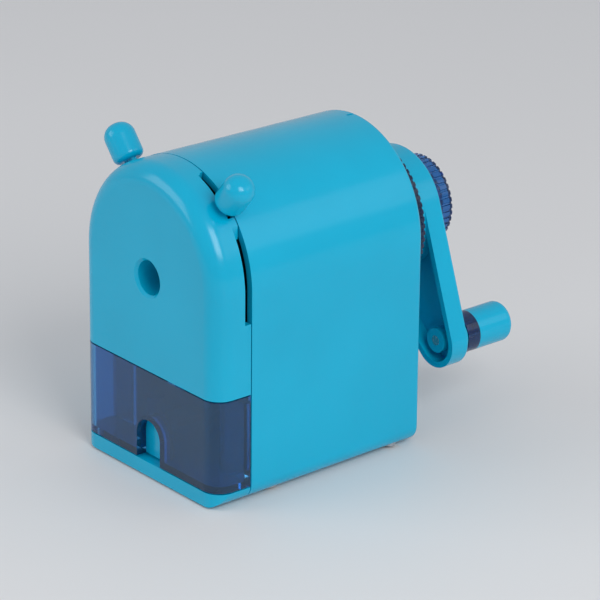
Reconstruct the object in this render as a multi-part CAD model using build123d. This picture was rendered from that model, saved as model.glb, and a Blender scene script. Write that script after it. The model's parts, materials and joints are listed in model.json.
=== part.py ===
"""Crank pencil sharpener: a desk sharpener with a pull-out chuck, a helical cutter and a shavings drawer.

Units are millimetres.  +Z is up, the front face looks along -Y and the crank is at the +Y end.
Shapes are drawn with y = 0 at the front face and are moved at export, so that the origin is the
middle of the footprint's box on the table.
"""
from build123d import *
from math import atan, atan2, cos, degrees, pi, radians, sin, tan
import os

# ---------------------------------------------------------------- driving dimensions
body_width = 63.6            # across the front; the casing narrows by draft on each side to the rear
arch_centre_z = 65.2
body_depth = 77.8
draft = 1.1
front_depth = 12.6           # front cap, measured back from the front face
wall = 2.2
rear_wall = 2.5
axis_z = 63.0                # pencil, cutter and crank axis
foot_height = 0.6
strip_top_z = 5.0            # top of the base strip under the drawer front
drawer_top_z = 33.8
seam = 0.4                   # visible joint line between outer pieces
front_round = 6.0
bottom_round = 5.0
rear_round = 1.2
notch_width = 1.0
notch_depth = 3.5
running = 0.05               # radial clearance of a running fit
fit_gap = 0.15               # between inner pieces and the casing that holds them
slack = 0.3                  # clearance between neighbours that only pass each other

pencil_hole_r = 5.25
ring_bore_r = 7.0            # bore of the two chuck rings
ring_outer_r = 16.0
ring_thick = 1.6
jaw_thick = 2.0
left_ring_y = 8.4
jaw_pivot_r = 13.0
jaw_tip_r = 3.6
jaw_tip_size = 1.0
jaw_pin_r = 1.0
ear_angle = 50.0             # above horizontal, at rest
ear_travel = 16.0
jaw_per_ear = 0.8            # degrees of jaw for each degree of one ear
ear_neck_thick = 1.6
ear_neck_width = 4.0
ear_r = 4.7
ear_gap = 1.6                # from the casing to the ear's flat end
ear_length = 11.7
slot_y = 10.4                # front edge of the slot that the ear necks pass
slot_hole_r = 0.9            # round end of the slot
neck_top_gap = 0.3
post_circle_r = 20.5
post_r = 2.8
mouth_chamfer = 0.8

frame_y = 18.6               # bulkhead of the inner frame
frame_thick = 2.4
frame_bottom_z = 37.0
skirt_thick = 1.4
skirt_end_y = 60.0
chute_half = 16.6            # half width of the opening that shavings fall through
rod_x = 20.0
rod_z = 45.0
rod_r = 2.0
rod_end_gap = 7.8            # from the rod's end to the rear face
sleeve_end_y = 38.0
sleeve_wall = 1.6
spring_wire_r = 0.35
rod_spring_turns = 10

cone_angle = 9.5             # half angle of the sharpened cone
apex_y = 54.0
cutter_r = 5.5
cutter_start_y = 31.2
cutter_end_y = 52.2
cutter_flutes = 8
cutter_twist = 70.0
flute_depth = 0.7
cutter_axle_r = 1.5
gear_y = 26.4
gear_width = 3.4
ring_teeth = 33
pinion_teeth = 12
ring_rim = 3.0
journal_r = 7.0
pencil_bore_r = 4.3
carrier_front_y = 22.0
carrier_web = 3.0
carrier_rear_y = 56.0
carrier_disc_r = 12.0
carrier_bar_x = 9.0
carrier_bar_thick = 2.4

shaft_r = 4.0
shaft_recess = 1.5           # from the dial's end to the shaft's end
stop_rod_r = 1.5
stop_tip_r = 0.35
stop_travel = 3.0
cross_pin_r = 0.8
cross_pin_inset = 1.9        # from the hub's end to the pin, pushed out
bearing_plate_r = 16.4
bush_length = 10.0
retainer_r = 22.9
retainer_length = 7.6
retainer_teeth = 66
retainer_wall = 5.0
lug_inset = 3.3              # from the ring's rim to the lug's inside
lug_thick = 1.8
hook_reach = 1.0
lug_arc = 16.0
twist_travel = 25.0
hub_r = 18.6
hub_length = 10.3
hub_floor = 2.0
hub_wall = 1.6
hub_boss_r = 7.0
hub_edge_round = 1.0
window_width = 5.6
window_length = 5.2
arm_length = 42.5
arm_tip_r = 8.3
arm_setback = 3.6            # from the hub's front to the arm's
arm_wall = 1.8
crank_rest = 33.3            # degrees the arm hangs off straight down, towards +X
drum_gap = 0.5
drum_wall = 2.6
dial_r = 13.5
dial_length = 8.0
dial_teeth = 40
knob_r = 6.2
knob_band_length = 4.6
knob_length = 13.6
knob_boss = 1.6
knob_end_round = 2.2
knob_pin_r = 1.6

tray_half = 21.4
runner_x = 17.0
runner_width = 3.0
tray_wall = 1.6
tray_end_gap = 4.8           # from the tray's rear wall to the casing's rear face
tray_top_z = 31.0
drawer_wall = 2.0
pull_width = 11.0
pull_height = 13.0
pull_depth = 4.6
pull_wall = 1.0
foot_r = 4.5
foot_x = 19.0
foot_y_front = 9.0
foot_y_rear = 22.0           # from the rear face
foot_sunk = 1.2
screw_r = 1.2
screw_head_r = 2.2
screw_post_r = 2.7
screw_post_gap = 3.0         # from the side wall's inside to the post's axis

# ---------------------------------------------------------------- derived places
half = body_width / 2
height = arch_centre_z + half
ear_root_r = half + (arch_centre_z - axis_z) * sin(radians(ear_angle)) + ear_gap
drawer_bottom_z = strip_top_z + seam
plate_bottom_z = drawer_top_z + seam
shell_y = front_depth + seam
jaw_y = left_ring_y + ring_thick + slack
right_ring_y = jaw_y + jaw_thick + slack
cover_y = right_ring_y + ring_thick + slack
cover_thick = 1.2
rod_end_y = body_depth - rod_end_gap
tray_end_y = body_depth - tray_end_gap
retainer_y = body_depth + seam
lug_r = retainer_r - lug_inset
hub_y = retainer_y + retainer_length + seam
hub_end_y = hub_y + hub_length
arm_y = hub_y + arm_setback
cross_pin_y = hub_end_y - cross_pin_inset
hub_boss_end_y = cross_pin_y - stop_travel - cross_pin_r - slack
drum_r = hub_r - hub_wall - drum_gap
dial_y = hub_end_y + slack
dial_end_y = dial_y + dial_length
shaft_end_y = dial_end_y - shaft_recess
knob_y = hub_end_y + knob_boss
knob_end_y = knob_y + knob_band_length + knob_length + slack
overall_length = knob_end_y
base_top_z = foot_height + 2.4
runner_top_z = drawer_bottom_z - slack
gear_tip_y = apex_y + cutter_r / sin(radians(cone_angle))


# ---------------------------------------------------------------- helpers
def slab(sketch, y0, y1):
    """A prism of an (x, z) sketch from y0 back to y1."""
    return extrude(Plane.XZ.offset(-y0) * sketch, amount=-(y1 - y0))


def disc(r, y0, y1, x=0.0, z=axis_z):
    return slab(Pos(x, z) * Circle(r), y0, y1)


def tube(r_out, r_in, y0, y1, x=0.0, z=axis_z):
    return disc(r_out, y0, y1, x, z) - disc(r_in, y0 - 1, y1 + 1, x, z)


def arch(inset, z0, round_bottom=0.0):
    """The body's outline, moved in by inset, from z0 up."""
    r = half - inset
    sides = Pos(0, (z0 + arch_centre_z) / 2) * Rectangle(2 * r, arch_centre_z - z0)
    if round_bottom > 0:
        low = sides.vertices().group_by(Axis.Y)[0]
        sides = fillet(low, round_bottom)
    return sides + Pos(0, arch_centre_z) * Circle(r)


def block(x0, x1, y0, y1, z0, z1):
    size = (x1 - x0, y1 - y0, z1 - z0)
    return Pos((x0 + x1) / 2, (y0 + y1) / 2, (z0 + z1) / 2) * Box(*size)


def on_axis(shape, angle):
    """Turn a shape about the main axis by angle, +Z towards +X."""
    to_axis = Pos(0, 0, axis_z)
    return to_axis * Rot(0, angle, 0) * to_axis.inverse() * shape


def solids_of(shape):
    return shape.solids() if hasattr(shape, "solids") else [shape]


def export(name, shape):
    moved = Pos(0, -overall_length / 2, 0) * shape
    pieces = solids_of(moved)
    export_step(pieces[0] if len(pieces) == 1 else Compound(children=pieces), f"parts/{name}.step")


def turn(point, angle):
    """Turn an (x, z) point about the origin by angle in degrees, +Z towards +X."""
    a = radians(angle)
    return (point[0] * cos(a) + point[1] * sin(a), -point[0] * sin(a) + point[1] * cos(a))


def capsule(p, q, r):
    """A rounded bar between two (x, z) points."""
    run = q[0] - p[0]
    rise = q[1] - p[1]
    bar = SlotCenterToCenter((run ** 2 + rise ** 2) ** 0.5, 2 * r)
    return Pos((p[0] + q[0]) / 2, (p[1] + q[1]) / 2) * Rot(0, 0, degrees(atan2(rise, run))) * bar


def spring(radius, length, turns, x, y, z):
    """A coil along +Y that starts at y."""
    coil = Helix(pitch=length / turns, height=length, radius=radius)
    section = Plane(origin=coil @ 0, z_dir=coil % 0) * Circle(spring_wire_r)
    wire = sweep(section, path=coil)
    return Pos(x, y, z) * Rot(-90, 0, 0) * wire


def scallops(r, y0, y1, count, depth):
    """A knurled disc: a disc with round grooves along its rim."""
    groove = disc(depth, y0 - 1, y1 + 1, 0, axis_z + r)
    cutters = [on_axis(groove, 360 / count * i) for i in range(count)]
    return disc(r, y0, y1) - cutters


# ---------------------------------------------------------------- casing
def front_envelope():
    """The rounded front block that the cap, drawer front and base strip are cut from."""
    body = slab(arch(0, foot_height), 0, front_depth)
    front = body.faces().sort_by(Axis.Y)[0]
    edges = [e for e in front.edges() if e.center().Z > foot_height + 0.5]
    body = fillet(edges, front_round)
    return body & slab(arch(0, foot_height, bottom_round), -1, front_depth + 1)


def ear_slot(margin):
    """Where the ear necks pass between the cap and the shell, with margin degrees to spare."""
    first = 90 - ear_angle + margin
    last = 90 - ear_angle - ear_travel - margin
    points = [(0.0, 0.0)]
    points += [turn((0, half + 14), a) for a in (first, (first + last) / 2, last)]
    face = make_face(Polyline(*points, close=True))
    right = slab(Pos(0, axis_z) * face, slot_y, shell_y + 0.1)
    return right + mirror(right, Plane.YZ)


def slot_holes():
    """The round upper end of each ear slot, drilled towards the axis."""
    angle = 90 - ear_angle - ear_travel - 6
    reach = half + 8
    length = 2 * (reach - half + 2 * wall)
    hole = Pos(0, shell_y - slot_hole_r, axis_z + reach) * Cylinder(slot_hole_r, length)
    return on_axis(hole, angle) + on_axis(hole, -angle)


def shell_envelope():
    """The outside of the casing behind the front cap, narrowing to the rear."""
    front = Plane.XZ.offset(-shell_y) * arch(0, foot_height, bottom_round)
    rear = Plane.XZ.offset(-body_depth) * arch(draft, foot_height, bottom_round)
    return loft([front, rear], ruled=True)


def front_plate():
    outer = front_envelope() & block(-40, 40, -1, front_depth + 1, plate_bottom_z, height + 1)
    inner = slab(arch(wall, plate_bottom_z + wall), wall, front_depth + 1)
    plate = outer - inner
    plate += tube(ring_bore_r - running, pencil_hole_r, wall - 0.5, left_ring_y + ring_thick)
    for angle in (90, 180, 270):
        post = disc(post_r, wall - 0.5, cover_y, 0, axis_z + post_circle_r)
        plate += on_axis(post, angle)
    for side in (-1, 1):
        plate += disc(rod_r + sleeve_wall, wall - 0.5, 10, side * rod_x, rod_z)
        plate -= disc(rod_r, 4, 11, side * rod_x, rod_z)
    plate -= disc(pencil_hole_r, -1, wall + 1)
    mouth = Rot(90, 0, 0) * Cone(pencil_hole_r, pencil_hole_r + mouth_chamfer, mouth_chamfer)
    plate -= Pos(0, mouth_chamfer / 2, axis_z) * mouth
    relief_z0 = axis_z - 7
    relief_z1 = arch_centre_z + half * sin(radians(42))
    for side in (-1, 1):
        low, high = sorted((side * (half - wall - 4), side * (half + 1)))
        plate -= block(low, high, slot_y, front_depth + 1, relief_z0, relief_z1)
    plate -= ear_slot(6) & slab(arch(-1, 60) - arch(wall + 1.5, 60), 0, 20)
    for angle in (90, 180, 270):
        plate -= on_axis(disc(screw_r, 6, cover_y + 1, 0, axis_z + post_circle_r), angle)
    return plate - slot_holes()


def housing_shell():
    envelope = shell_envelope()
    shell = envelope
    rear = shell.faces().sort_by(Axis.Y)[-1]
    shell = fillet([e for e in rear.edges() if e.center().Z > arch_centre_z], rear_round)
    shell -= slab(arch(wall, -1), shell_y - 1, body_depth - rear_wall)
    shell -= disc(bearing_plate_r + 0.1, body_depth - rear_wall - 1, body_depth + 1)
    notch_start = body_depth - notch_depth
    shell -= block(-notch_width / 2, notch_width / 2, notch_start, body_depth + 1, height - 8, height + 1)
    for i in range(3):
        shell -= on_axis(lug_slot(), 120 * i)
    for x, y in screw_places():
        low, high = sorted((x, x / abs(x) * (half - wall + 0.5)))
        post = disc_z(screw_post_r, base_top_z, base_top_z + 8, x, y)
        shell += post + block(low, high, y - 1.0, y + 1.0, base_top_z, base_top_z + 8)
        shell -= disc_z(screw_r, base_top_z - 1, base_top_z + 7, x, y)
    return (shell & envelope) - slot_holes()


def disc_z(r, z0, z1, x, y):
    return Pos(x, y, (z0 + z1) / 2) * Cylinder(r, z1 - z0)


def sector(r0, r1, start, stop, y0, y1):
    """Part of a ring between two angles from +Z towards +X."""
    ring = tube(r1, r0, y0, y1)
    reach = 3 * r1
    steps = [start + (stop - start) * k / 4 for k in range(5)]
    points = [(0.0, 0.0)] + [turn((0, reach), a) for a in steps]
    wedge = slab(Pos(0, axis_z) * make_face(Polyline(*points, close=True)), y0 - 1, y1 + 1)
    return ring & wedge


def lug_slot():
    """The slot for a lug's twist and the wider entry for its hook."""
    y0 = body_depth - rear_wall - 1
    y1 = body_depth + 1
    low = -lug_arc / 2 - twist_travel - 2
    outer = lug_r + lug_thick
    long_slot = sector(lug_r - slack, outer + slack, low, lug_arc / 2 + 2, y0, y1)
    entry = sector(lug_r - slack, outer + hook_reach + slack, low, lug_arc / 2 - twist_travel + 2, y0, y1)
    return long_slot + entry


def base_plate():
    strip = front_envelope() & block(-40, 40, -1, front_depth + 1, foot_height, strip_top_z)
    inside = half - wall - fit_gap
    floor_end = body_depth - rear_wall - fit_gap
    floor = block(-inside, inside, front_depth - 0.5, floor_end, foot_height, base_top_z)
    for side in (-1, 1):
        middle = side * runner_x
        low = middle - runner_width / 2
        high = middle + runner_width / 2
        floor += block(low, high, front_depth - 0.5, tray_end_y, base_top_z - 0.1, runner_top_z)
    plate = strip + (floor & slab(arch(draft, foot_height, bottom_round), 0, body_depth))
    for x, y in foot_places():
        plate -= disc_z(foot_r + running, foot_height - 1, foot_height + foot_sunk, x, y)
    for x, y in screw_places():
        plate -= disc_z(screw_r + 0.2, foot_height - 1, base_top_z + 1, x, y)
        plate -= disc_z(screw_head_r + 0.2, foot_height - 1, foot_height + 1.3, x, y)
    return plate


def screw_places():
    x = half - wall - screw_post_gap
    return [(side * x, y) for side in (-1, 1) for y in (shell_y + 11, body_depth - 8)]


def foot_places():
    return [(x, y) for x in (-foot_x, foot_x) for y in (foot_y_front, body_depth - foot_y_rear)]


def rubber_feet():
    return Compound(children=[disc_z(foot_r, 0, foot_height + foot_sunk, x, y) for x, y in foot_places()])


def housing_screws():
    screws = []
    for x, y in screw_places():
        head = disc_z(screw_head_r, foot_height + 0.1, foot_height + 1.3, x, y)
        shank = disc_z(screw_r, foot_height + 1.2, base_top_z + 6.5, x, y)
        cross = block(x - 1.5, x + 1.5, y - 0.3, y + 0.3, foot_height - 1, foot_height + 0.8)
        cross += block(x - 0.3, x + 0.3, y - 1.5, y + 1.5, foot_height - 1, foot_height + 0.8)
        screws.append(head + shank - cross)
    return Compound(children=screws)


def inner_frame():
    inset = wall + fit_gap
    frame = slab(arch(inset, frame_bottom_z), frame_y, frame_y + frame_thick)
    frame -= disc(journal_r + running, frame_y - 1, frame_y + frame_thick + 1)
    skin = inset + skirt_thick
    hollow = arch(skin, frame_bottom_z + skirt_thick)
    skirt = slab(arch(inset, frame_bottom_z) - hollow, frame_y, skirt_end_y)
    chute_start = frame_y + frame_thick + 8
    chute_end = skirt_end_y - 2
    chute = block(-chute_half, chute_half, chute_start, chute_end, frame_bottom_z - 1, frame_bottom_z + 3)
    frame += skirt - chute
    frame -= block(-half, half, frame_y - 1, skirt_end_y + 1, foot_height, frame_bottom_z)
    rim = ring_pitch_at(gear_y) + 1 + ring_rim
    frame += tube(rim + 1.6, rim, frame_y + frame_thick - 0.1, gear_y + gear_width)
    for side in (-1, 1):
        sleeve = disc(rod_r + sleeve_wall, frame_y, sleeve_end_y, side * rod_x, rod_z)
        frame += sleeve
        frame -= disc(rod_r + running, frame_y - 1, sleeve_end_y + 1, side * rod_x, rod_z)
    return frame


# ---------------------------------------------------------------- gears on a common cone tip
def pinion_half_angle():
    """Pitch half angle of the pinion, from the tooth ratio and the tilt between the axes."""
    ratio = ring_teeth / pinion_teeth
    return atan(sin(radians(cone_angle)) / (ratio - cos(radians(cone_angle))))


def ring_pitch_at(y):
    return (gear_tip_y - y) * tan(pinion_half_angle() + radians(cone_angle))


def tooth_loop(teeth, root_r, tip_r, root_share, tip_share, first):
    """Points of a gear outline with straight-sided teeth; first is the angle of a tooth's middle."""
    points = []
    pitch = 2 * pi / teeth
    flank = ((root_r, -root_share), (tip_r, -tip_share), (tip_r, tip_share), (root_r, root_share))
    for i in range(teeth):
        middle = radians(first) + i * pitch
        for r, offset in flank:
            a = middle + offset * pitch / 2
            points.append((r * cos(a), r * sin(a)))
    return points


def cone_gear(points, near, far):
    """Loft a gear outline, given at distance near from the cone tip, to distance far."""
    near_face = make_face(Polyline(*points, close=True))
    ratio = far / near
    far_face = make_face(Polyline(*[(x * ratio, y * ratio) for x, y in points], close=True))
    return loft([near_face, Pos(0, 0, near - far) * far_face], ruled=True)


def from_tip(shape, near):
    """Place a gear drawn at the origin along +Z: near is its distance from the cone tip."""
    return Pos(0, gear_tip_y, axis_z) * Rot(-90, 0, 0) * Pos(0, 0, -near) * shape


def ring_gear():
    near = gear_tip_y - gear_y
    far = near - gear_width
    pitch_r = ring_pitch_at(gear_y)
    size = 2 * pitch_r / ring_teeth
    root_r = pitch_r + 1.1 * size
    tip_r = pitch_r - 0.75 * size
    points = tooth_loop(ring_teeth, root_r, tip_r, 0.66, 0.26, -90 + 180 / ring_teeth)
    hole = from_tip(cone_gear(points, near, far), near)
    rim = ring_pitch_at(gear_y) + 1 + ring_rim
    return disc(rim, gear_y, gear_y + gear_width) - hole


def tilt_frame():
    """The cutter's own frame: origin on the cone tip, +Y along the cutter axis towards the rear."""
    return Pos(0, gear_tip_y, axis_z) * Rot(-cone_angle, 0, 0)


def on_cutter(shape):
    return tilt_frame() * shape


def cutter_disc(r, y0, y1):
    """A disc on the cutter axis between two stations measured along the main axis."""
    c = cos(radians(cone_angle))
    near = (gear_tip_y - y0) / c
    far = (gear_tip_y - y1) / c
    return on_cutter(disc(r, -near, -far, 0, 0))


def cutter_pinion():
    c = cos(radians(cone_angle))
    near = (gear_tip_y - gear_y) / c
    far = near - (gear_width - 0.4)
    pitch_r = near * tan(pinion_half_angle())
    size = 2 * pitch_r / pinion_teeth
    points = tooth_loop(pinion_teeth, pitch_r - 1.05 * size, pitch_r + 0.75 * size, 0.62, 0.22, -90)
    gear = on_cutter(Rot(-90, 0, 0) * Pos(0, 0, -near) * cone_gear(points, near, far))
    gear = gear & cutter_disc(30, gear_y + 1.2, gear_y + gear_width)
    return gear - cutter_disc(cutter_axle_r + running, gear_y - 5, cutter_end_y)


def helical_cutter():
    c = cos(radians(cone_angle))
    near = (gear_tip_y - cutter_start_y) / c
    far = (gear_tip_y - cutter_end_y) / c
    points = []
    flute_r = cutter_r - flute_depth
    blade = ((0.0, cutter_r), (0.30, cutter_r), (0.42, flute_r), (0.85, flute_r))
    for i in range(cutter_flutes):
        for share, r in blade:
            a = 2 * pi * (i + share) / cutter_flutes
            points.append((r * cos(a), r * sin(a)))
    star = make_face(Polyline(*points, close=True))
    steps = 6
    length = near - far
    layers = []
    for k in range(steps + 1):
        layers.append(Pos(0, 0, length * k / steps) * Rot(0, 0, cutter_twist * k / steps) * star)
    body = loft(layers, ruled=True)
    body = on_cutter(Rot(-90, 0, 0) * Pos(0, 0, -near) * body)
    return body - cutter_disc(cutter_axle_r + running, cutter_start_y - 3, cutter_end_y + 3)


# ---------------------------------------------------------------- cutter carrier and crank
def cutter_carrier():
    rear_end = carrier_rear_y + carrier_web
    carrier = disc(carrier_disc_r, carrier_front_y, carrier_front_y + carrier_web)
    carrier += tube(journal_r, pencil_bore_r, frame_y, carrier_front_y + 0.5)
    carrier += disc(carrier_disc_r, carrier_rear_y, rear_end)
    for side in (-1, 1):
        low, high = sorted((side * carrier_bar_x, side * (carrier_bar_x + carrier_bar_thick)))
        carrier += block(low, high, carrier_front_y + 0.5, rear_end - 0.5, axis_z - 6, axis_z + 3.0)
    guide = tube(pencil_bore_r + 1.4, pencil_bore_r, carrier_front_y, 29.0)
    carrier += guide - block(-20, 20, carrier_front_y + carrier_web, 60, axis_z + 2.2, axis_z + 20)
    lobe = cutter_disc(cutter_axle_r + 1.6, carrier_front_y - 3, rear_end + 4)
    front_lobe = lobe & block(-20, 20, carrier_front_y, carrier_front_y + carrier_web, axis_z, axis_z + 30)
    rear_lobe = lobe & block(-20, 20, carrier_rear_y - 1.2, rear_end, axis_z + 2, axis_z + 30)
    carrier += front_lobe
    carrier += rear_lobe
    carrier -= disc(pencil_bore_r, frame_y - 1, carrier_front_y + carrier_web + 1)
    bore = cutter_disc(cutter_axle_r, carrier_front_y - 4, rear_end + 3)
    carrier -= bore & block(-20, 20, carrier_front_y - 1, rear_end - 0.8, axis_z, axis_z + 30)
    carrier -= disc(stop_rod_r + 0.1, carrier_rear_y - 3, rear_end + 3)
    carrier += tube(shaft_r + 2.2, shaft_r, rear_end - 0.1, rear_end + 5)
    return carrier


def cutter_axle():
    rear_end = carrier_rear_y + carrier_web
    rod = cutter_disc(cutter_axle_r, carrier_front_y - 4, rear_end + 3)
    return rod & block(-20, 20, carrier_front_y, rear_end - 0.8, axis_z, axis_z + 30)


def main_shaft():
    start = carrier_rear_y + carrier_web
    shaft = tube(shaft_r, stop_rod_r + 0.1, start, shaft_end_y)
    slot = block(-shaft_r - 1, shaft_r + 1, cross_pin_y - stop_travel - cross_pin_r - 0.3,
                 cross_pin_y + cross_pin_r + 0.3, axis_z - cross_pin_r - 0.1, axis_z + cross_pin_r + 0.1)
    return shaft - slot


def arm_outline(inset):
    tip = (0.0, -arm_length)
    r0 = hub_r - inset
    r1 = arm_tip_r - inset
    lean = degrees(atan((hub_r - arm_tip_r) / arm_length))
    a = turn((r0, 0.0), lean)
    b = turn((r1, 0.0), lean)
    points = [(a[0], a[1]), (b[0], tip[1] + b[1]), (-b[0], tip[1] + b[1]), (-a[0], a[1])]
    web = make_face(Polyline(*points, close=True))
    return web + Circle(r0) + Pos(*tip) * Circle(r1)


def crank_arm():
    """The hub cup and the arm, drawn hanging straight down."""
    arm = slab(Pos(0, axis_z) * arm_outline(0), arm_y, hub_end_y)
    arm = fillet(arm.faces().sort_by(Axis.Y)[-1].edges(), hub_edge_round)
    hollow = slab(Pos(0, axis_z) * arm_outline(arm_wall), arm_y - 1, hub_end_y - arm_wall)
    arm -= hollow - disc(hub_r - 0.2, arm_y - 2, hub_end_y)
    arm += disc(hub_r, hub_y, hub_end_y - 2 * hub_edge_round)
    arm -= disc(hub_r - hub_wall, hub_y + hub_floor, hub_end_y + 1)
    arm += disc(hub_boss_r, hub_y, hub_boss_end_y)
    arm -= disc(shaft_r, hub_y - 1, hub_end_y)
    knob_z = axis_z - arm_length
    arm += disc(knob_pin_r + 2.2, arm_y + 0.6, hub_end_y - 0.5, 0, knob_z)
    arm += disc(knob_r, hub_end_y - 0.5, knob_y - 0.1, 0, knob_z)
    arm -= disc(knob_pin_r, arm_y, knob_y + 1, 0, knob_z)
    window_y = hub_end_y - window_length
    top_z = axis_z + hub_r
    arm -= block(-window_width / 2, window_width / 2, window_y, hub_end_y + 1, top_z - 3, top_z + 1)
    return on_axis(arm, -crank_rest)


def knob_pin():
    knob_z = axis_z - arm_length
    pin = disc(knob_pin_r, arm_y + 0.6, knob_end_y - 3, 0, knob_z)
    pin += disc(knob_pin_r + 1.2, knob_end_y - 4.2, knob_end_y - 3, 0, knob_z)
    return on_axis(pin, -crank_rest)


def knob_sleeve(y0, y1, r, round_end):
    knob_z = axis_z - arm_length
    sleeve = disc(r, y0, y1, 0, knob_z)
    if round_end > 0:
        sleeve = fillet(sleeve.faces().sort_by(Axis.Y)[-1].edges(), round_end)
    sleeve -= disc(knob_pin_r + running, y0 - 1, knob_end_y - 4.3, 0, knob_z)
    return sleeve


def knob_collar():
    return on_axis(knob_sleeve(knob_y + slack, knob_y + slack + knob_band_length, knob_r, 0), -crank_rest)


def crank_knob():
    knob_z = axis_z - arm_length
    sleeve = knob_sleeve(knob_y + slack + knob_band_length, knob_end_y, knob_r, knob_end_round)
    sleeve -= disc(knob_pin_r + 1.4, knob_end_y - 4.5, knob_end_y - 2.7, 0, knob_z)
    return on_axis(sleeve, -crank_rest)


def lead_dial():
    drum_y = hub_y + hub_floor + slack
    dial = disc(drum_r, drum_y, dial_y + 0.2) - disc(hub_boss_r + slack, drum_y - 1, hub_boss_end_y + slack)
    dial += scallops(dial_r, dial_y, dial_end_y, dial_teeth, 0.45)
    dial -= disc(shaft_r + running, hub_y, shaft_end_y + 0.2)
    groove_r = shaft_r + 1.6
    dial -= disc(groove_r, cross_pin_y - stop_travel - cross_pin_r - 0.4, cross_pin_y + cross_pin_r + 0.4)
    dial -= disc(shaft_r + 2.8, shaft_end_y - 1.6, dial_end_y + 1)
    dial -= tube(drum_r - drum_wall, hub_boss_r + 2.2, drum_y - 1, dial_y - 1.5)
    dial -= tube(dial_r - 2.0, shaft_r + 4.4, dial_y + 1.5, dial_end_y + 1)
    return dial


def dial_nut():
    hexagon = RegularPolygon(shaft_r + 2.2, 6)
    nut = slab(Pos(0, axis_z) * hexagon, shaft_end_y - 1.4, dial_end_y - 0.4)
    return nut - disc(shaft_r, shaft_end_y - 3, shaft_end_y)


def stop_rod():
    rod = disc(stop_rod_r, carrier_rear_y + 2.2, cross_pin_y + 3)
    rod += disc(stop_tip_r, apex_y + 0.3, carrier_rear_y + 2.4)
    return rod - rotated_pin(cross_pin_r)


def rotated_pin(r):
    return Pos(0, cross_pin_y, axis_z) * Rot(0, 90, 0) * Cylinder(r, 2 * (shaft_r + 1.3))


def stop_cross_pin():
    return rotated_pin(cross_pin_r)


# ---------------------------------------------------------------- rear bearing and retaining ring
def bearing_plate():
    plate = disc(bearing_plate_r, body_depth - rear_wall, body_depth)
    plate += disc(shaft_r + 3.6, body_depth - bush_length, body_depth)
    return plate - disc(shaft_r + 1.5, body_depth - bush_length - 1, body_depth + 1)


def shaft_bush():
    flange_y = body_depth - bush_length
    bush = tube(shaft_r + 1.5, shaft_r + running, flange_y, body_depth)
    return bush + tube(shaft_r + 3.0, shaft_r + running, flange_y - 1, flange_y)


def retaining_ring():
    ring = scallops(retainer_r, retainer_y, retainer_y + retainer_length, retainer_teeth, 0.5)
    ring -= disc(retainer_r - retainer_wall, retainer_y - 1, retainer_y + retainer_length - 2.0)
    ring -= disc(shaft_r + 1.0, retainer_y - 1, retainer_y + retainer_length + 1)
    ring += tube(shaft_r + 3.4, shaft_r + 1.0, retainer_y, retainer_y + retainer_length - 0.5)
    hook_y = body_depth - rear_wall - 1.8
    for i in range(3):
        lug = sector(lug_r, lug_r + lug_thick, -lug_arc / 2, lug_arc / 2, hook_y - 1.6, retainer_y + 0.5)
        hook = sector(lug_r, lug_r + lug_thick + hook_reach, -lug_arc / 2, lug_arc / 2, hook_y - 1.6, hook_y)
        ring += on_axis(lug, 120 * i)
        ring += on_axis(hook, 120 * i)
    return ring


# ---------------------------------------------------------------- chuck
def jaw_points():
    pivot = (0.0, jaw_pivot_r)
    tip = turn((0.0, jaw_tip_r), -60.0)
    drive = (4.4, jaw_pivot_r - 2.2)
    return pivot, tip, drive


def cam_path(steps=6):
    """Where a jaw's drive pin lies in the right ring's frame, from closed to open."""
    pivot, tip, drive = jaw_points()
    path = []
    for k in range(steps + 1):
        ear = ear_travel * k / steps
        arm = (drive[0] - pivot[0], drive[1] - pivot[1])
        swung = turn(arm, jaw_per_ear * ear)
        moved = (pivot[0] + swung[0], pivot[1] + swung[1])
        path.append(turn(moved, 2 * ear))
    return path


def ring_with_ear(y, side):
    """A chuck ring with its neck and ear; side is -1 for the left ear and 1 for the right one."""
    ring = tube(ring_outer_r, ring_bore_r, y, y + ring_thick)
    angle = side * (90 - ear_angle)
    neck_y = slot_y + neck_top_gap
    neck_end = neck_y + ear_neck_thick
    bar_y0 = min(y, neck_y)
    bar_y1 = max(y + ring_thick, neck_end)
    w = ear_neck_width / 2
    spoke = block(-w, w, y, y + ring_thick, axis_z + ring_outer_r - 2, axis_z + 25.5)
    step = block(-w, w, bar_y0, bar_y1, axis_z + 22.5, axis_z + 25.5)
    neck = block(-w, w, neck_y, neck_end, axis_z + 22.5, axis_z + ear_root_r + 2)
    ear = Cylinder(ear_r, ear_length)
    ear = fillet(ear.faces().sort_by(Axis.Z)[-1].edges(), ear_r - 0.6)
    ear = fillet(ear.faces().sort_by(Axis.Z)[0].edges(), 1.8)
    ear = Pos(0, neck_y + ear_neck_thick / 2, axis_z + ear_root_r + ear_length / 2) * ear
    return ring + on_axis(spoke + step + neck + ear, angle)


def left_ear_ring():
    ring = ring_with_ear(left_ring_y, -1)
    for i in range(3):
        ring -= on_axis(disc(jaw_pin_r, left_ring_y - 1, jaw_y, 0, axis_z + jaw_pivot_r), 120 * i)
    return ring


def right_ear_ring():
    ring = ring_with_ear(right_ring_y, 1)
    path = cam_path()
    slot = Pos(0, axis_z) * capsule(path[0], path[1], jaw_pin_r + 0.2)
    for p, q in zip(path[1:-1], path[2:]):
        slot = slot + Pos(0, axis_z) * capsule(p, q, jaw_pin_r + 0.2)
    cutter = slab(slot, right_ring_y - 1, right_ring_y + ring_thick + 1)
    for i in range(3):
        ring -= on_axis(cutter, 120 * i)
    return ring


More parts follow.
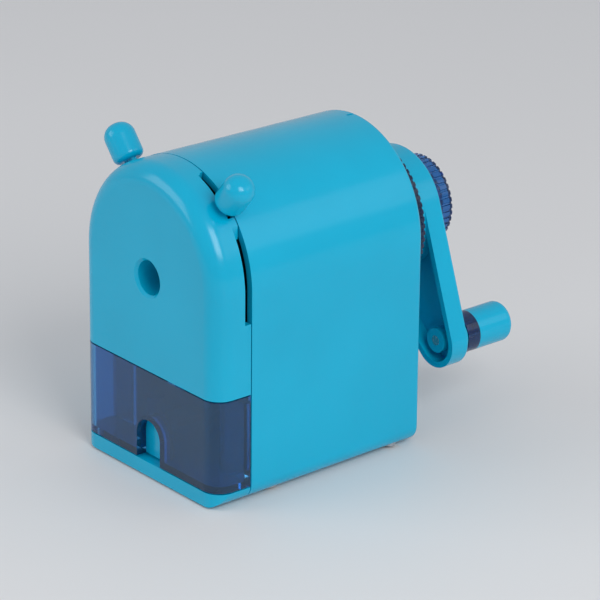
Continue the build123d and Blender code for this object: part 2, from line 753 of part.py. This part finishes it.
def jaw(index):
    pivot, tip, drive = jaw_points()
    shape = capsule(pivot, tip, jaw_tip_size)
    elbow = capsule(pivot, drive, jaw_pin_r + 0.7) + Pos(*pivot) * Circle(jaw_pin_r + 1.2)
    face = Pos(0, axis_z) * (shape + elbow)
    body = slab(face, jaw_y, jaw_y + jaw_thick)
    body -= disc(jaw_pin_r + running, jaw_y - 1, jaw_y + jaw_thick + 1, 0, axis_z + jaw_pivot_r)
    pin_end = right_ring_y + ring_thick - 0.2
    body += disc(jaw_pin_r, jaw_y + jaw_thick - 0.1, pin_end, drive[0], axis_z + drive[1])
    return on_axis(body, 120 * index)


def jaw_pins():
    pin = disc(jaw_pin_r, left_ring_y, jaw_y + jaw_thick + slack / 2, 0, axis_z + jaw_pivot_r)
    return Compound(children=[on_axis(pin, 120 * i) for i in range(3)])


def chuck_cover():
    cover = disc(ring_outer_r, cover_y, cover_y + cover_thick)
    for angle in (90, 180, 270):
        lobe = capsule((0, 10), (0, post_circle_r), post_r)
        cover += on_axis(slab(Pos(0, axis_z) * lobe, cover_y, cover_y + cover_thick), angle)
    cover += tube(ring_bore_r - running, pencil_hole_r, right_ring_y, cover_y + 0.5)
    cover -= disc(pencil_hole_r, cover_y - 1, cover_y + 5)
    for angle in (90, 180, 270):
        cover -= on_axis(disc(screw_r + 0.1, cover_y - 1, cover_y + 3, 0, axis_z + post_circle_r), angle)
    return cover


def chuck_screws():
    screws = []
    for angle in (90, 180, 270):
        z = axis_z + post_circle_r
        head = disc(screw_head_r, cover_y + cover_thick, cover_y + cover_thick + 1.0, 0, z)
        shank = disc(screw_r, cover_y - 6, cover_y + cover_thick + 0.1, 0, z)
        screws.append(on_axis(head + shank, angle))
    return Compound(children=screws)


# ---------------------------------------------------------------- carriage rods
def rod_compound(make):
    return Compound(children=[make(side * rod_x) for side in (-1, 1)])


def guide_rods():
    return rod_compound(lambda x: disc(rod_r, 4, rod_end_y, x, rod_z))


def rod_clips():
    return rod_compound(lambda x: tube(rod_r + 1.8, rod_r, rod_end_y - 2.4, rod_end_y - 1.2, x, rod_z))


def rod_springs():
    start = sleeve_end_y + 0.5
    length = rod_end_y - 2.9 - start
    radius = rod_r + 0.3 + spring_wire_r
    return rod_compound(lambda x: spring(radius, length, rod_spring_turns, x, start, rod_z))


# ---------------------------------------------------------------- drawer
def pull_outline(grow):
    r = pull_width / 2 + grow
    top = drawer_bottom_z + pull_height - pull_width / 2
    legs = Pos(0, (top + drawer_bottom_z) / 2) * Rectangle(2 * r, top - drawer_bottom_z)
    return legs + Pos(0, top) * Circle(r)


def drawer():
    front = front_envelope() & block(-40, 40, -1, front_depth + 1, drawer_bottom_z, drawer_top_z)
    inside = half - drawer_wall
    core = block(-inside, inside, -1, front_depth + 1, drawer_bottom_z + tray_wall, drawer_top_z + 1)
    hollow = front_hollow() & core
    front -= hollow
    tray = block(-tray_half, tray_half, front_depth - 1.6, tray_end_y, drawer_bottom_z, tray_top_z)
    tray -= block(-tray_half + tray_wall, tray_half - tray_wall, front_depth - 3, tray_end_y - tray_wall,
                  drawer_bottom_z + tray_wall, tray_top_z + 1)
    flange = block(-half + 0.5, half - 0.5, front_depth - 1.6, front_depth, drawer_bottom_z, tray_top_z)
    flange -= block(-tray_half + tray_wall, tray_half - tray_wall, front_depth - 3, front_depth + 1,
                    drawer_bottom_z + tray_wall, tray_top_z + 1)
    flange = flange & slab(arch(0, foot_height, bottom_round), 0, 20)
    body = front + tray + flange
    body -= slab(pull_outline(0), -1, pull_depth + 0.01)
    shroud = slab(pull_outline(pull_wall), drawer_wall - 0.5, pull_depth + pull_wall)
    shroud -= slab(pull_outline(0), -1, pull_depth)
    body += shroud & block(-40, 40, -1, 20, drawer_bottom_z, drawer_top_z)
    return body


def front_hollow():
    """The inside of the drawer front, a wall in from the outside."""
    inner = slab(arch(drawer_wall, drawer_bottom_z), drawer_wall, front_depth + 1)
    face = inner.faces().sort_by(Axis.Y)[0]
    sides = [e for e in face.edges() if abs(e.center().X) > half - drawer_wall - 0.5]
    return fillet(sides, front_round - drawer_wall)


def drawer_pull():
    """The coloured insert that lines the finger notch."""
    grip = slab(pull_outline(-0.05), pull_depth - 1.2, pull_depth - 0.05)
    return grip & block(-40, 40, -1, 20, drawer_bottom_z + 0.05, drawer_top_z)


# ---------------------------------------------------------------- build
os.makedirs("parts", exist_ok=True)
pieces = {
    "front_plate": front_plate(),
    "housing_shell": housing_shell(),
    "base_plate": base_plate(),
    "rubber_feet": rubber_feet(),
    "housing_screws": housing_screws(),
    "inner_frame": inner_frame(),
    "ring_gear": ring_gear(),
    "bearing_plate": bearing_plate(),
    "shaft_bush": shaft_bush(),
    "retaining_ring": retaining_ring(),
    "cutter_carrier": cutter_carrier(),
    "cutter_axle": cutter_axle(),
    "main_shaft": main_shaft(),
    "crank_arm": crank_arm(),
    "knob_pin": knob_pin(),
    "helical_cutter": helical_cutter(),
    "cutter_pinion": cutter_pinion(),
    "crank_knob": crank_knob(),
    "knob_collar": knob_collar(),
    "lead_dial": lead_dial(),
    "dial_nut": dial_nut(),
    "stop_rod": stop_rod(),
    "stop_cross_pin": stop_cross_pin(),
    "left_ear_ring": left_ear_ring(),
    "right_ear_ring": right_ear_ring(),
    "jaw_pins": jaw_pins(),
    "chuck_cover": chuck_cover(),
    "chuck_screws": chuck_screws(),
    "guide_rods": guide_rods(),
    "rod_clips": rod_clips(),
    "rod_springs": rod_springs(),
    "drawer": drawer(),
    "drawer_pull": drawer_pull(),
}
for number in range(3):
    pieces[f"chuck_jaw_{number + 1}"] = jaw(number)
for name, shape in pieces.items():
    export(name, shape)
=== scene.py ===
"""Looks of the crank pencil sharpener: materials, dial numbers, return springs, studio light and camera.

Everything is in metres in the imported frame: +Z up, the front cap looks along -Y, the crank is at +Y.
"""

import json
import math

import bmesh
import bpy
from mathutils import Matrix, Vector


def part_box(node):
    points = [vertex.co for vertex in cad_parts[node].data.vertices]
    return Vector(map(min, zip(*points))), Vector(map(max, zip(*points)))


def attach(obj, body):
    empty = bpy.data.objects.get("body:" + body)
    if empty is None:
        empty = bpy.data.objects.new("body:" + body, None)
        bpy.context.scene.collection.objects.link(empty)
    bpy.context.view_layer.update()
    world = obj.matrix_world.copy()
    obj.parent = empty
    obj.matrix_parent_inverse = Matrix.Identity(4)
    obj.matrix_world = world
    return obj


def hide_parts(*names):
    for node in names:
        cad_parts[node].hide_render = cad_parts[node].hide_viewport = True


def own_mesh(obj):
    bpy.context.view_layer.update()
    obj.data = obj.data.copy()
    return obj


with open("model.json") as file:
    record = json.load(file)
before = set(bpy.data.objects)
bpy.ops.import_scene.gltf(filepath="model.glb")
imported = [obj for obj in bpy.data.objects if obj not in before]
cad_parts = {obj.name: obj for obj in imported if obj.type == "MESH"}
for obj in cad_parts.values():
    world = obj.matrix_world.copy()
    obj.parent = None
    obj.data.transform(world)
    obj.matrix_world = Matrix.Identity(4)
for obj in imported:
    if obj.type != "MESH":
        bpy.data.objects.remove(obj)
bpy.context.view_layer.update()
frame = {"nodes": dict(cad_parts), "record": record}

MM = 0.001

# ---------------------------------------------------------------- camera
CAMERA_AZIMUTH = 50.2          # degrees, 0 looks along +Y
CAMERA_ELEVATION = 22.6
CAMERA_DISTANCE = 1.198
CAMERA_ROLL = 0.52
CAMERA_LENS = 242.7            # mm on a 36 mm sensor
CAMERA_TARGET = Vector((0.0013, -0.00235, 0.0423))

# ---------------------------------------------------------------- colours, linear
TEAL = (0.0, 0.430, 0.660)
TEAL_DARK = (0.0, 0.395, 0.610)
CLEAR_BLUE = (0.070, 0.360, 0.740)
DIAL_BLUE = (0.020, 0.175, 0.520)
NUMBER_WHITE = (0.86, 0.90, 0.93)
RUBBER_BLACK = (0.012, 0.012, 0.013)
RUBBER_DUSTY = (0.035, 0.035, 0.036)

# ---------------------------------------------------------------- floor and light
FLOOR_GREY = (0.76, 0.76, 0.76)
FLOOR_PALE = (0.79, 0.79, 0.79)
FLOOR_HALF = 6.0               # m
SKY = (0.93, 0.95, 1.0)
SKY_STRENGTH = 0.52
WHITE = (1.0, 1.0, 1.0)
COOL_WHITE = (0.96, 0.98, 1.0)
LIGHT_AIM = Vector((0, 0, 0.05))


# ---------------------------------------------------------------- node helpers
def new_material(name):
    """A material with an empty tree apart from a Principled shader and its output."""
    material = bpy.data.materials.new(name)
    material.use_nodes = True
    tree = material.node_tree
    tree.nodes.clear()
    output = tree.nodes.new("ShaderNodeOutputMaterial")
    shader = tree.nodes.new("ShaderNodeBsdfPrincipled")
    tree.links.new(shader.outputs["BSDF"], output.inputs["Surface"])
    return material, tree, shader


def object_coordinates(tree, scale=(1, 1, 1)):
    """The piece's own coordinates in metres, stretched by scale."""
    coordinates = tree.nodes.new("ShaderNodeTexCoord")
    mapping = tree.nodes.new("ShaderNodeMapping")
    mapping.inputs["Scale"].default_value = scale
    tree.links.new(coordinates.outputs["Object"], mapping.inputs["Vector"])
    return mapping.outputs["Vector"]


def noise(tree, vector, scale, detail=3.0, roughness=0.5):
    """A 0 to 1 noise pattern, scale in features per metre."""
    node = tree.nodes.new("ShaderNodeTexNoise")
    node.inputs["Scale"].default_value = scale
    node.inputs["Detail"].default_value = detail
    node.inputs["Roughness"].default_value = roughness
    tree.links.new(vector, node.inputs["Vector"])
    return node.outputs["Fac"]


def spread(tree, value, low, high, low_in=0.3, high_in=0.7):
    """Map a 0 to 1 pattern onto a range of values."""
    node = tree.nodes.new("ShaderNodeMapRange")
    node.inputs["From Min"].default_value = low_in
    node.inputs["From Max"].default_value = high_in
    node.inputs["To Min"].default_value = low
    node.inputs["To Max"].default_value = high
    tree.links.new(value, node.inputs["Value"])
    return node.outputs["Result"]


def two_colours(tree, value, first, second):
    """A blend from first to second as value goes from 0 to 1."""
    node = tree.nodes.new("ShaderNodeMix")
    node.data_type = "RGBA"
    node.inputs["A"].default_value = (*first, 1)
    node.inputs["B"].default_value = (*second, 1)
    tree.links.new(value, node.inputs["Factor"])
    return node.outputs["Result"]


def bump(tree, shader, height, distance, strength=1.0, under=None):
    """Fine relief on the shader's normal, laid over the relief under if there is one."""
    node = tree.nodes.new("ShaderNodeBump")
    node.inputs["Distance"].default_value = distance
    node.inputs["Strength"].default_value = strength
    tree.links.new(height, node.inputs["Height"])
    if under is not None:
        tree.links.new(under, node.inputs["Normal"])
    tree.links.new(node.outputs["Normal"], shader.inputs["Normal"])
    return node.outputs["Normal"]


def edge_highlight_mask(tree, radius):
    """1 where an edge is sharp within radius, 0 on flat ground."""
    bevel = tree.nodes.new("ShaderNodeBevel")
    bevel.samples = 4
    bevel.inputs["Radius"].default_value = radius
    geometry = tree.nodes.new("ShaderNodeNewGeometry")
    dot = tree.nodes.new("ShaderNodeVectorMath")
    dot.operation = "DOT_PRODUCT"
    tree.links.new(bevel.outputs["Normal"], dot.inputs[0])
    tree.links.new(geometry.outputs["Normal"], dot.inputs[1])
    return spread(tree, dot.outputs["Value"], 1.0, 0.0, 0.75, 0.99)


# ---------------------------------------------------------------- materials
def moulded_gloss(name, colour, darker, roughness=(0.16, 0.24), coat=0.15):
    """Glossy moulded plastic: slight colour drift, soft sink marks, fine flow texture, a painted
    highlight on sharp edges.
    """
    material, tree, shader = new_material(name)
    place = object_coordinates(tree)
    drift = noise(tree, place, 28.0, 2.0)
    tone = two_colours(tree, spread(tree, drift, 0.0, 1.0), darker, colour)
    # Painted highlight: sharp edges are mixed towards a brighter teal where light would catch them.
    highlight_mask = edge_highlight_mask(tree, 0.35 * MM)
    highlight_colour = tuple(min(1.0, c * 1.18 + 0.004) for c in colour)
    painted_highlight = tree.nodes.new("ShaderNodeMix")
    painted_highlight.data_type = "RGBA"
    tree.links.new(tone, painted_highlight.inputs["A"])
    painted_highlight.inputs["B"].default_value = (*highlight_colour, 1)
    tree.links.new(spread(tree, highlight_mask, 0.0, 0.45, 0.0, 1.0), painted_highlight.inputs["Factor"])
    tree.links.new(painted_highlight.outputs["Result"], shader.inputs["Base Color"])
    smear = noise(tree, place, 160.0, 5.0, 0.62)
    tree.links.new(spread(tree, smear, *roughness), shader.inputs["Roughness"])
    shader.inputs["IOR"].default_value = 1.53
    shader.inputs["Specular IOR Level"].default_value = 0.30
    shader.inputs["Coat Weight"].default_value = coat
    shader.inputs["Coat Roughness"].default_value = 0.12
    shader.inputs["Subsurface Weight"].default_value = 0.05
    shader.inputs["Subsurface Radius"].default_value = (0.4, 1.0, 1.2)
    shader.inputs["Subsurface Scale"].default_value = 0.8 * MM
    sink = bump(tree, shader, noise(tree, place, 45.0, 1.0), 0.06 * MM, 0.5)
    bump(tree, shader, noise(tree, place, 2600.0, 2.0), 0.004 * MM, 0.6, sink)
    return material


def clear_plastic(name, colour, roughness=(0.03, 0.09)):
    """Tinted clear polystyrene with faint flow lines."""
    material, tree, shader = new_material(name)
    place = object_coordinates(tree)
    shader.inputs["Base Color"].default_value = (*colour, 1)
    shader.inputs["Transmission Weight"].default_value = 0.92
    shader.inputs["IOR"].default_value = 1.50
    smear = noise(tree, place, 220.0, 4.0, 0.6)
    tree.links.new(spread(tree, smear, *roughness), shader.inputs["Roughness"])
    flow = noise(tree, object_coordinates(tree, (1, 3, 1)), 60.0, 2.0)
    bump(tree, shader, flow, 0.03 * MM, 0.5)
    return material


def matte_plastic(name, colour):
    """Spark-eroded mould texture."""
    material, tree, shader = new_material(name)
    place = object_coordinates(tree)
    darker = tuple(c * 0.8 for c in colour)
    tone = two_colours(tree, spread(tree, noise(tree, place, 60.0, 3.0), 0, 1), darker, colour)
    tree.links.new(tone, shader.inputs["Base Color"])
    grain = noise(tree, place, 1900.0, 3.0)
    tree.links.new(spread(tree, grain, 0.42, 0.6), shader.inputs["Roughness"])
    bump(tree, shader, grain, 0.02 * MM, 0.7)
    return material


def metal(name, colour, roughness, streak=(1, 1, 1), grain=900.0, depth=0.006):
    """Drawn, ground or cast metal; streak stretches the grain."""
    material, tree, shader = new_material(name)
    place = object_coordinates(tree, streak)
    shader.inputs["Metallic"].default_value = 1.0
    darker = tuple(c * 0.72 for c in colour)
    lines = noise(tree, place, grain, 4.0, 0.65)
    stain = noise(tree, object_coordinates(tree), 70.0, 4.0)
    tone = two_colours(tree, spread(tree, stain, 0, 1), darker, colour)
    tree.links.new(tone, shader.inputs["Base Color"])
    tree.links.new(spread(tree, lines, roughness[0], roughness[1]), shader.inputs["Roughness"])
    bump(tree, shader, lines, depth * MM, 0.8)
    return material


def soft_rubber(name):
    """Dull moulded rubber with a little dust."""
    material, tree, shader = new_material(name)
    place = object_coordinates(tree)
    dust = noise(tree, place, 300.0, 5.0, 0.7)
    tone = two_colours(tree, spread(tree, dust, 0, 1), RUBBER_BLACK, RUBBER_DUSTY)
    tree.links.new(tone, shader.inputs["Base Color"])
    tree.links.new(spread(tree, dust, 0.68, 0.85), shader.inputs["Roughness"])
    bump(tree, shader, noise(tree, place, 1400.0, 2.0), 0.02 * MM, 0.6)
    return material


def print_ink(name, colour):
    """Printed paint, slightly speckled."""
    material, tree, shader = new_material(name)
    place = object_coordinates(tree)
    speck = noise(tree, place, 900.0, 3.0)
    worn = tuple(c * 0.86 for c in colour)
    tone = two_colours(tree, spread(tree, speck, 0, 1), worn, colour)
    tree.links.new(tone, shader.inputs["Base Color"])
    tree.links.new(spread(tree, speck, 0.35, 0.5), shader.inputs["Roughness"])
    return material


MATERIALS = {
    "teal": moulded_gloss("teal_plastic", TEAL, TEAL_DARK),
    "clear_blue": clear_plastic("clear_blue_plastic", CLEAR_BLUE),
    "dial_blue": clear_plastic("dial_blue_plastic", DIAL_BLUE, (0.06, 0.14)),
    "dark_plastic": matte_plastic("dark_plastic", (0.022, 0.026, 0.032)),
    "white_plastic": matte_plastic("white_plastic", (0.74, 0.75, 0.72)),
    "cast_zinc": metal("cast_zinc", (0.56, 0.57, 0.59), (0.32, 0.5), grain=500.0, depth=0.015),
    "steel": metal("bright_steel", (0.64, 0.65, 0.67), (0.14, 0.3), (1, 0.05, 1)),
    "cutter_steel": metal("ground_steel", (0.42, 0.43, 0.46), (0.18, 0.34), (1, 1, 6), 700.0),
    "rubber": soft_rubber("pad_rubber"),
    "ink": print_ink("number_ink", NUMBER_WHITE),
}
LOOKS_OF_NODES = {"lead_dial": "dial_blue", "retaining_ring": "dial_blue", "dial_nut": "dial_blue",
                  "knob_collar": "dial_blue"}


def dress_cad_nodes():
    """Give each CAD node its procedural material."""
    slots = {row["node"]: row["material_slot"] for row in frame["record"]["subparts"]}
    for name, node in frame["nodes"].items():
        look = LOOKS_OF_NODES.get(name, slots[name])
        node.data.materials.clear()
        node.data.materials.append(MATERIALS[look])


# ---------------------------------------------------------------- dial numbers
DIAL_POSITIONS = 5
DIAL_STEP = math.radians(36)
WINDOW_ANGLE = math.radians(-33.3)     # the arm's window, from +Z towards +X
NUMBER_HEIGHT = 4.2 * MM
NUMBER_PROUD = 0.03 * MM
NUMBER_THICK = 0.01 * MM
NUMBER_INSET = 2.9 * MM                # middle of the window, in from the hub's rear end


def dial_numbers():
    """Printed numbers 1 to 5 round the drum, each one at the window at its own dial position."""
    low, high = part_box("lead_dial")
    drum_r = (high.x - low.x) / 2
    centre = (low + high) / 2
    hub_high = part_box("crank_arm")[1].y
    number_y = hub_high - NUMBER_INSET
    for index in range(DIAL_POSITIONS):
        curve = bpy.data.curves.new(f"number_{index + 1}", "FONT")
        curve.body = str(index + 1)
        curve.size = NUMBER_HEIGHT
        curve.align_x = "CENTER"
        curve.align_y = "CENTER"
        curve.extrude = NUMBER_THICK
        text = bpy.data.objects.new(f"dial_number_{index + 1}", curve)
        bpy.context.scene.collection.objects.link(text)
        depsgraph = bpy.context.evaluated_depsgraph_get()
        mesh = bpy.data.meshes.new_from_object(text.evaluated_get(depsgraph))
        bpy.data.objects.remove(text)
        piece = bpy.data.objects.new(f"dial_number_{index + 1}", mesh)
        bpy.context.scene.collection.objects.link(piece)
        angle = WINDOW_ANGLE - index * DIAL_STEP
        for vertex in mesh.vertices:
            across, along, out = vertex.co
            turn = angle - across / drum_r
            r = drum_r + NUMBER_PROUD + out
            vertex.co = (centre.x + r * math.sin(turn), number_y - along, centre.z + r * math.cos(turn))
        mesh.materials.clear()
        mesh.materials.append(MATERIALS["ink"])
        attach(piece, "dial")


# ---------------------------------------------------------------- return springs
SPRING_TURNS = 10
SPRING_WIRE_R = 0.35 * MM
RINGS_PER_TURN = 24
WIRE_SIDES = 8


def wind_spring(work, centre_x, centre_z, coil_r, start, end):
    """Adds one round-wire helix along Y, closed at both ends, to the mesh being built."""
    count = SPRING_TURNS * RINGS_PER_TURN
    rings = []
    for step in range(count + 1):
        turn = 2 * math.pi * step / RINGS_PER_TURN
        out = Vector((math.cos(turn), 0, math.sin(turn)))
        centre = Vector((centre_x, start + (end - start) * step / count, centre_z)) + out * coil_r
        ring = []
        for side in range(WIRE_SIDES):
            around = 2 * math.pi * side / WIRE_SIDES
            offset = out * math.cos(around) + Vector((0, math.sin(around), 0))
            ring.append(work.verts.new(centre + offset * SPRING_WIRE_R))
        rings.append(ring)
    for near, far in zip(rings, rings[1:]):
        for side in range(WIRE_SIDES):
            after = (side + 1) % WIRE_SIDES
            work.faces.new((near[side], near[after], far[after], far[side]))
    work.faces.new(rings[0])
    work.faces.new(rings[-1])


def return_springs():
    """Both springs on the guide rods, riding with the carriage."""
    low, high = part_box("rod_springs")
    outer_r = (high.z - low.z) / 2
    centre_x = high.x - outer_r
    work = bmesh.new()
    for side in (-1, 1):
        wind_spring(work, side * centre_x, (low.z + high.z) / 2, outer_r - SPRING_WIRE_R,
                    low.y + SPRING_WIRE_R, high.y - SPRING_WIRE_R)
    bmesh.ops.recalc_face_normals(work, faces=work.faces)
    mesh = bpy.data.meshes.new("return_springs")
    work.to_mesh(mesh)
    work.free()
    mesh.shade_smooth()
    mesh.materials.append(MATERIALS["steel"])
    springs = bpy.data.objects.new("return_springs", mesh)
    bpy.context.scene.collection.objects.link(springs)
    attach(springs, "carriage")
    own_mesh(springs)
    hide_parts("rod_springs")


# ---------------------------------------------------------------- stage
def floor():
    """A wide, flat, pale floor."""
    mesh = bpy.data.meshes.new("floor")
    work = bmesh.new()
    bmesh.ops.create_grid(work, x_segments=2, y_segments=2, size=FLOOR_HALF)
    work.to_mesh(mesh)
    work.free()
    plane = bpy.data.objects.new("floor", mesh)
    bpy.context.scene.collection.objects.link(plane)
    material, tree, shader = new_material("floor")
    place = object_coordinates(tree)
    tone = two_colours(tree, noise(tree, place, 3.0, 2.0), FLOOR_GREY, FLOOR_PALE)
    tree.links.new(tone, shader.inputs["Base Color"])
    shader.inputs["Roughness"].default_value = 0.6
    mesh.materials.append(material)


def area_light(name, place, size, power, colour=WHITE):
    """A rectangular lamp, watts and metres, aimed at the object."""
    data = bpy.data.lights.new(name, "AREA")
    data.shape = "RECTANGLE"
    data.size, data.size_y = size
    data.energy = power
    data.color = colour
    light = bpy.data.objects.new(name, data)
    light.location = place
    light.rotation_mode = "QUATERNION"
    light.rotation_quaternion = (LIGHT_AIM - Vector(place)).to_track_quat("-Z", "Y")
    bpy.context.scene.collection.objects.link(light)


def studio():
    """Even pale surroundings, a key light from the right, a weak front fill and a rear side light."""
    world = bpy.data.worlds.new("studio")
    world.use_nodes = True
    background = world.node_tree.nodes["Background"]
    background.inputs["Color"].default_value = (*SKY, 1)
    background.inputs["Strength"].default_value = SKY_STRENGTH
    bpy.context.scene.world = world
    bpy.context.scene.view_settings.view_transform = "Standard"
    area_light("key", (0.90, -0.20, 0.70), (0.55, 0.55), 5.6)
    area_light("fill", (-0.55, -0.95, 0.55), (0.8, 0.6), 3.2, COOL_WHITE)
    area_light("rim", (0.72, 0.52, 0.52), (0.60, 0.45), 0.6)


def camera():
    """A long lens at the photograph's viewing angle."""
    azimuth = math.radians(CAMERA_AZIMUTH)
    elevation = math.radians(CAMERA_ELEVATION)
    back = Vector((math.sin(azimuth) * math.cos(elevation),
                   -math.cos(azimuth) * math.cos(elevation),
                   math.sin(elevation)))
    data = bpy.data.cameras.new("camera")
    data.lens = CAMERA_LENS
    data.sensor_width = 36.0
    data.clip_start = 0.05
    data.clip_end = 50.0
    view = bpy.data.objects.new("camera", data)
    view.rotation_mode = "QUATERNION"
    view.location = CAMERA_TARGET + back * CAMERA_DISTANCE
    aim = (-back).to_track_quat("-Z", "Y")
    view.rotation_quaternion = aim @ Matrix.Rotation(math.radians(CAMERA_ROLL), 3, "Z").to_quaternion()
    bpy.context.scene.collection.objects.link(view)
    bpy.context.scene.camera = view


dress_cad_nodes()
dial_numbers()
return_springs()
floor()
studio()
camera()
